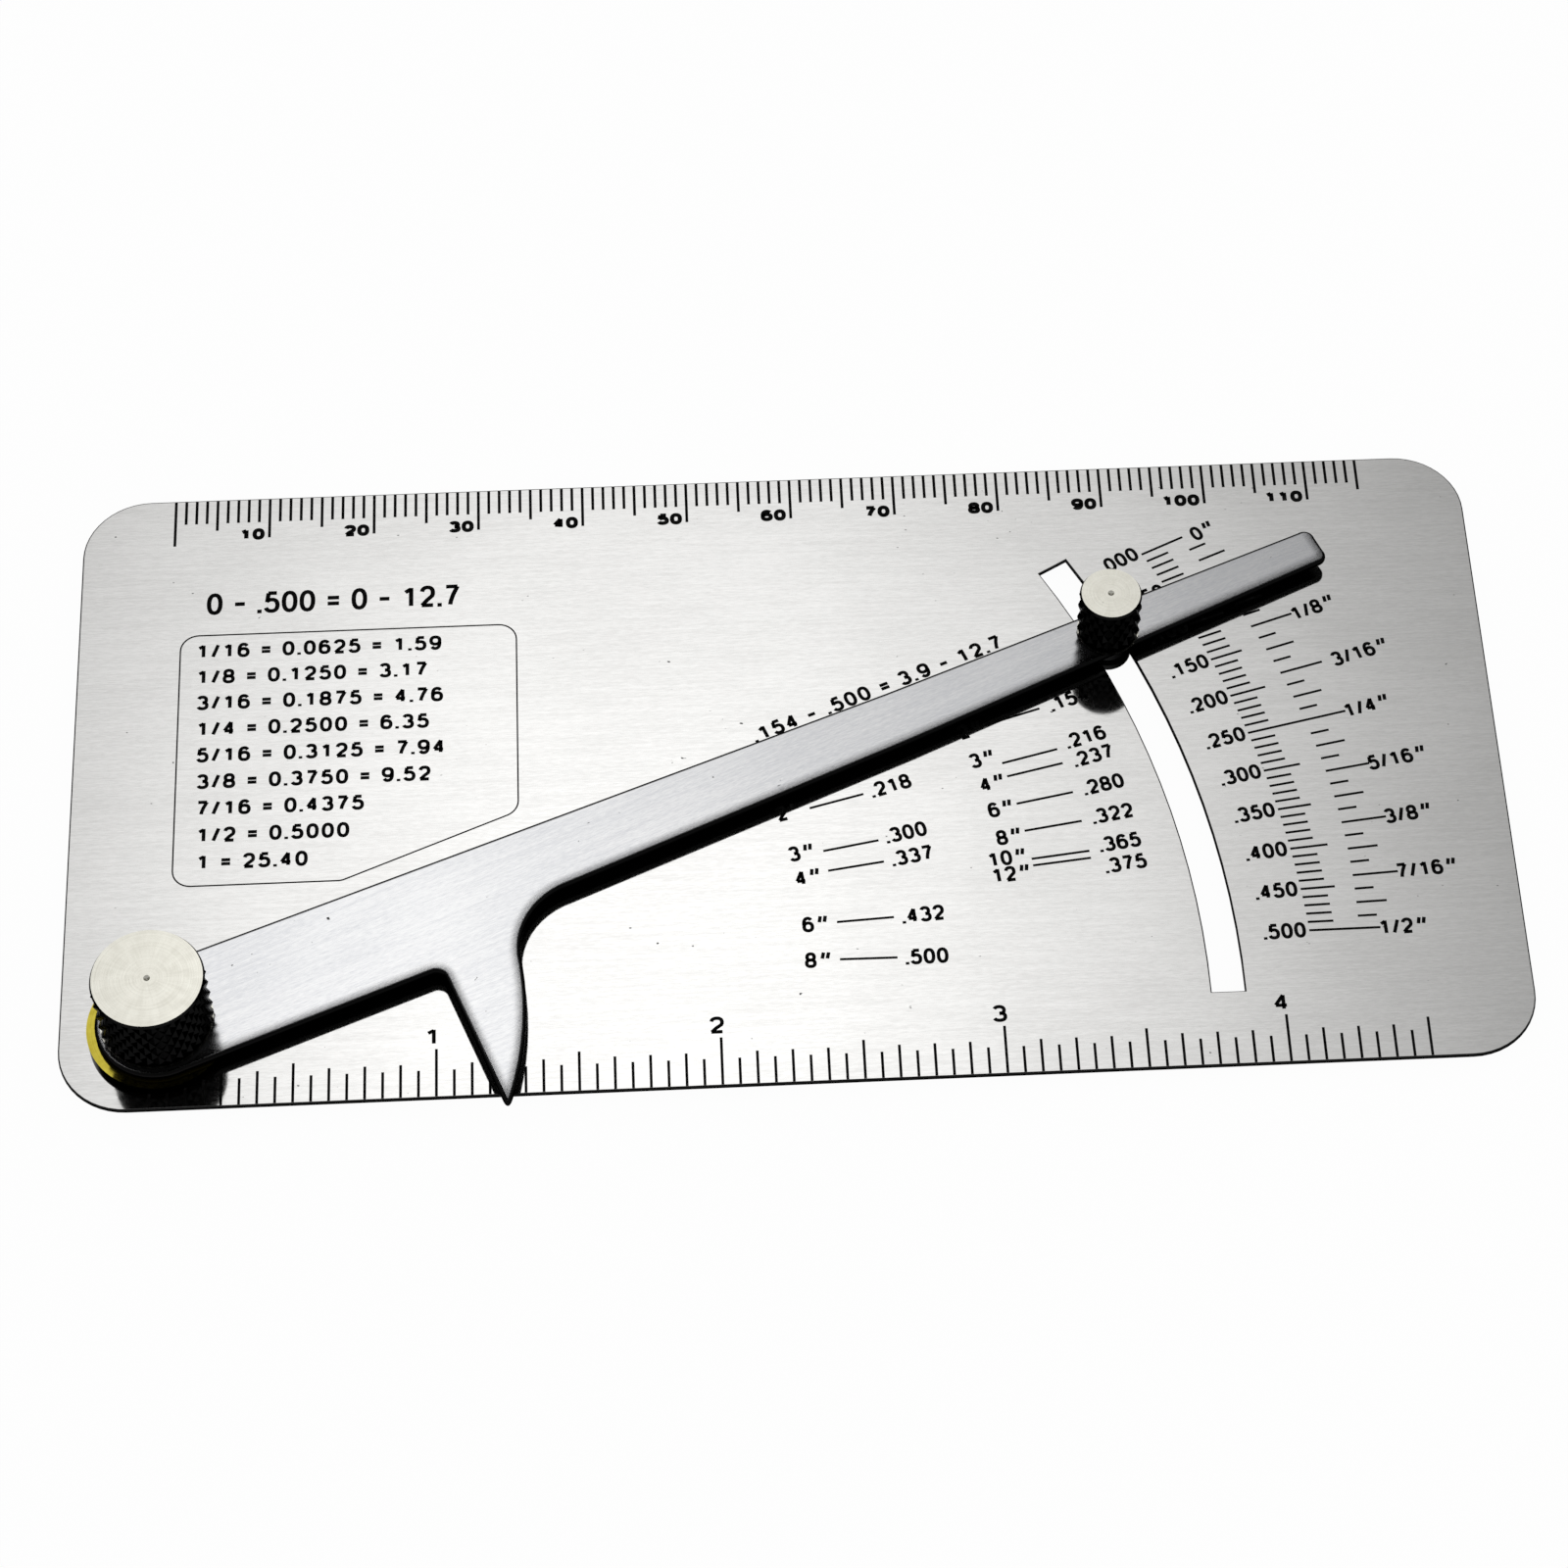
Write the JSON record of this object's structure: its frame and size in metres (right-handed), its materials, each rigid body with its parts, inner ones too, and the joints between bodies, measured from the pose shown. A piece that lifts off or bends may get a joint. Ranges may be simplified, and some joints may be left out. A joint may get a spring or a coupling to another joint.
{
  "type": "pit depth gauge",
  "caption": "Flat brushed steel rule with a pivoting pointer arm whose curved spike reaches into a corrosion pit; the arm's end reads the depth and a knurled nut locks it along an arc slot.",
  "frame": {"origin": "on the pivot axis, at the outer face of the pivot screw's head behind the plate", "axes": "+X along the rule away from the pivot, +Y across the rule towards the millimetre scale, +Z out of the printed face"},
  "size_m": [0.1326, 0.0693, 0.0109],
  "materials": {
    "plate_steel": "satin, brushed along the length, black printed scales",
    "arm_steel": "satin, brushed along the arm",
    "knob_steel": "turned top, knurled side",
    "screw_steel": "plain turned",
    "washer_brass": "plain"
  },
  "bodies": {
    "plate": {"gauge_plate": "plate_steel", "pivot_screw": "screw_steel", "brass_washer": "washer_brass"},
    "arm": {"pointer_arm": "arm_steel", "lock_screw": "screw_steel", "lock_spacer": "screw_steel"},
    "pivot_nut": {"pivot_knob": "knob_steel"},
    "lock_nut": {"lock_knob": "knob_steel"}
  },
  "joints": [
    {"name": "arm_pivot", "type": "hinge", "parent": "plate", "child": "arm", "pos_m": [0, 0, 0], "axis": [0, 0, 1], "range_deg": [-22.8, 5.1]},
    {"name": "pivot_knob_turn", "type": "hinge", "parent": "plate", "child": "pivot_nut", "pos_m": [0, 0, 0], "axis": [0, 0, 1], "range_deg": [0, 180]},
    {"name": "lock_knob_turn", "type": "hinge", "parent": "arm", "child": "lock_nut", "pos_m": [0.08795, 0.03824, 0], "axis": [0, 0, 1], "range_deg": [0, 180]}
  ]
}
